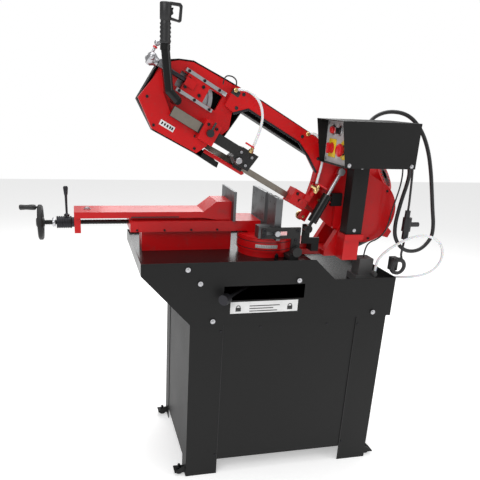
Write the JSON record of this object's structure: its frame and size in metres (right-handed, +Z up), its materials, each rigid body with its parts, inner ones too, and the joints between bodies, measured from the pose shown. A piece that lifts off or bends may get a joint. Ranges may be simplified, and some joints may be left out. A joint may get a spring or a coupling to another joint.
{
  "type": "band saw",
  "caption": "Swivel-head metal-cutting band saw on a black cabinet stand, with a raised red bow, cable-fed control box, screw vise and coolant tray.",
  "frame": {"origin": "centre of the machine's outline on the floor, cords left out", "axes": "+X to the right along the bow towards its pivot, +Y to the back, +Z up"},
  "size_m": [1.4115, 0.582, 1.5181],
  "materials": {
    "red_paint": "gloss red machine enamel",
    "black_powder_coat": "fine textured black powder coat",
    "black_enamel": "satin black enamel",
    "grey_cast": "machined grey iron",
    "bright_steel": "ground steel",
    "black_steel": "blackened steel",
    "zinc": "zinc plated",
    "black_rubber": "moulded rubber",
    "black_plastic": "moulded plastic",
    "panel_grey": "light grey panel",
    "red_plastic": "red push button",
    "green_plastic": "green push button",
    "pump_grey": "grey pump housing",
    "white_hose": "translucent white hose",
    "black_cable": "black cable sheath"
  },
  "bodies": {
    "root": {"cabinet_legs": "black_powder_coat", "cabinet_panels": "black_powder_coat", "levelling_feet": "black_powder_coat", "front_apron": "black_powder_coat", "coolant_tray": "black_powder_coat", "table_base": "red_paint", "vise_bed": "red_paint", "fixed_jaws": "grey_cast", "stop_bracket": "black_powder_coat", "coolant_pump": "pump_grey", "zinc_screws": "zinc", "coolant_hose": "white_hose"},
    "swivel": {"swivel_arm": "red_paint", "pivot_pins": "bright_steel", "column": "black_powder_coat", "control_box": "black_powder_coat", "control_panel": "panel_grey", "link_brackets": "black_powder_coat", "cable_conduit": "black_cable", "mains_lead": "black_cable", "pump_cable": "black_cable", "lead_coupler": "black_plastic", "lead_hank": "black_cable", "mains_plug": "black_plastic"},
    "bow": {"bow_frame": "red_paint", "drive_housing": "red_paint", "rear_cover": "black_powder_coat", "head_shroud": "red_paint", "saw_blade": "bright_steel", "guide_clamp": "red_paint", "right_guide": "red_paint", "gearbox": "red_paint", "motor": "red_paint", "handle_tube": "black_powder_coat", "handle_grip": "black_rubber", "tension_rails": "bright_steel"},
    "drive_wheel": {"drive_wheel": "grey_cast"},
    "idler_carriage": {"tension_slide": "red_paint"},
    "idler_wheel": {"idler_wheel": "grey_cast"},
    "brush": {"blade_brush": "bright_steel"},
    "guide_arm": {"guide_arm": "black_enamel"},
    "guide_lock": {"guide_lock_knob": "black_steel"},
    "tension_wheel": {"tension_wheel": "zinc"},
    "trigger": {"trigger": "black_plastic"},
    "lift_cylinder": {"lift_cylinder": "black_enamel"},
    "lift_rod": {"lift_rod": "bright_steel"},
    "balance_spring": {"balance_spring": "black_enamel"},
    "balance_rod": {"balance_rod": "bright_steel"},
    "vise_slide": {"vise_slide": "red_paint", "movable_jaw": "red_paint", "vise_clamp": "bright_steel"},
    "handwheel": {"handwheel": "black_steel"},
    "crank_handle": {"crank_handle": "black_plastic"},
    "vise_lever": {"vise_lever": "bright_steel"},
    "swivel_lock": {"swivel_lock_lever": "black_steel"},
    "start_button": {"start_button": "green_plastic"},
    "stop_button": {"stop_button": "red_plastic"},
    "emergency_stop": {"emergency_stop": "red_plastic"},
    "selector_knob": {"selector_knob": "black_plastic"},
    "main_switch": {"main_switch": "red_plastic"}
  },
  "joints": [
    {"name": "head_swivel", "type": "hinge", "parent": "root", "child": "swivel", "pos_m": [0.14819, -0.008, 0.803], "axis": [0, 0, 1], "range_deg": [0, 45]},
    {"name": "bow_lift", "type": "hinge", "parent": "swivel", "child": "bow", "pos_m": [0.40819, -0.036, 0.893], "axis": [0, 1, 0], "range_deg": [-28.3, 10]},
    {"name": "drive_spin", "type": "hinge", "parent": "bow", "child": "drive_wheel", "pos_m": [0.4873, -0.036, 0.93445], "axis": [0, 1, 0], "continuous": true},
    {"name": "tension_turn", "type": "hinge", "parent": "bow", "child": "tension_wheel", "pos_m": [-0.25982, -0.081, 1.37989], "axis": [0.8805, 0, -0.4741], "range_deg": [0, 1440]},
    {"name": "tension_travel", "type": "slide", "parent": "bow", "child": "idler_carriage", "axis": [0.8805, 0, -0.4741], "range_m": [0, 0.008]},
    {"name": "idler_spin", "type": "hinge", "parent": "idler_carriage", "child": "idler_wheel", "pos_m": [-0.15545, -0.036, 1.28053], "axis": [0, 1, 0], "continuous": true},
    {"name": "brush_spin", "type": "hinge", "parent": "bow", "child": "brush", "pos_m": [0.25579, -0.048, 0.91793], "axis": [0, 1, 0], "continuous": true},
    {"name": "guide_slide", "type": "slide", "parent": "bow", "child": "guide_arm", "axis": [0.8805, 0, -0.4741], "range_m": [0, 0.12]},
    {"name": "guide_lock_turn", "type": "hinge", "parent": "bow", "child": "guide_lock", "pos_m": [-0.08955, -0.142, 1.18145], "axis": [0, 1, 0], "range_deg": [-30, 30]},
    {"name": "trigger_press", "type": "slide", "parent": "bow", "child": "trigger", "axis": [-1, 0, 0], "range_m": [0, 0.005], "stiffness_N_per_m": 300},
    {"name": "lift_pivot", "type": "hinge", "parent": "swivel", "child": "lift_cylinder", "pos_m": [0.26219, -0.107, 0.884], "axis": [0, 1, 0], "range_deg": [-20.5, 7.5]},
    {"name": "lift_stroke", "type": "slide", "parent": "lift_cylinder", "child": "lift_rod", "axis": [0.4541, 0, 0.891], "range_m": [-0.068, 0.0245]},
    {"name": "spring_pivot", "type": "hinge", "parent": "swivel", "child": "balance_spring", "pos_m": [0.46419, 0.023, 0.776], "axis": [0, 1, 0], "range_deg": [-25.5, 9.3]},
    {"name": "spring_stroke", "type": "slide", "parent": "balance_spring", "child": "balance_rod", "axis": [0.9072, 0, 0.4206], "range_m": [-0.0225, 0.063]},
    {"name": "vise_travel", "type": "slide", "parent": "root", "child": "vise_slide", "axis": [1, 0, 0], "range_m": [-0.11, 0.095]},
    {"name": "handwheel_turn", "type": "hinge", "parent": "vise_slide", "child": "handwheel", "pos_m": [-0.59481, 0.067, 0.876], "axis": [1, 0, 0], "range_deg": [-7900, 6830]},
    {"name": "crank_spin", "type": "hinge", "parent": "handwheel", "child": "crank_handle", "pos_m": [-0.63981, 0.067, 0.925], "axis": [1, 0, 0], "continuous": true},
    {"name": "vise_lever_turn", "type": "hinge", "parent": "vise_slide", "child": "vise_lever", "pos_m": [-0.51181, 0.067, 0.876], "axis": [1, 0, 0], "range_deg": [-60, 60]},
    {"name": "swivel_lock_turn", "type": "hinge", "parent": "root", "child": "swivel_lock", "pos_m": [0.14819, -0.008, 0.684], "axis": [0, 0, 1], "range_deg": [0, 70]},
    {"name": "start_press", "type": "slide", "parent": "swivel", "child": "start_button", "axis": [1, 0, 0], "range_m": [0, 0.004], "stiffness_N_per_m": 500},
    {"name": "stop_press", "type": "slide", "parent": "swivel", "child": "stop_button", "axis": [1, 0, 0], "range_m": [0, 0.004], "stiffness_N_per_m": 500},
    {"name": "emergency_press", "type": "slide", "parent": "swivel", "child": "emergency_stop", "axis": [1, 0, 0], "range_m": [0, 0.005], "stiffness_N_per_m": 500},
    {"name": "selector_turn", "type": "hinge", "parent": "swivel", "child": "selector_knob", "pos_m": [0.29019, -0.201, 1.203], "axis": [1, 0, 0], "range_deg": [-45, 45]},
    {"name": "main_switch_turn", "type": "hinge", "parent": "swivel", "child": "main_switch", "pos_m": [0.29019, -0.159, 1.15], "axis": [1, 0, 0], "range_deg": [0, 90]}
  ],
  "couplings": [
    {"joint": "idler_spin", "follows": "drive_spin", "ratio": 1},
    {"joint": "tension_travel", "follows": "tension_turn", "m_per_rad": 0.00031831},
    {"joint": "lift_pivot", "follows": "bow_lift", "ratio": 0.71},
    {"joint": "lift_stroke", "follows": "bow_lift", "m_per_rad": 0.136},
    {"joint": "spring_pivot", "follows": "bow_lift", "ratio": 0.88},
    {"joint": "spring_stroke", "follows": "bow_lift", "m_per_rad": -0.126},
    {"joint": "vise_travel", "follows": "handwheel_turn", "m_per_rad": 0.00079577}
  ]
}
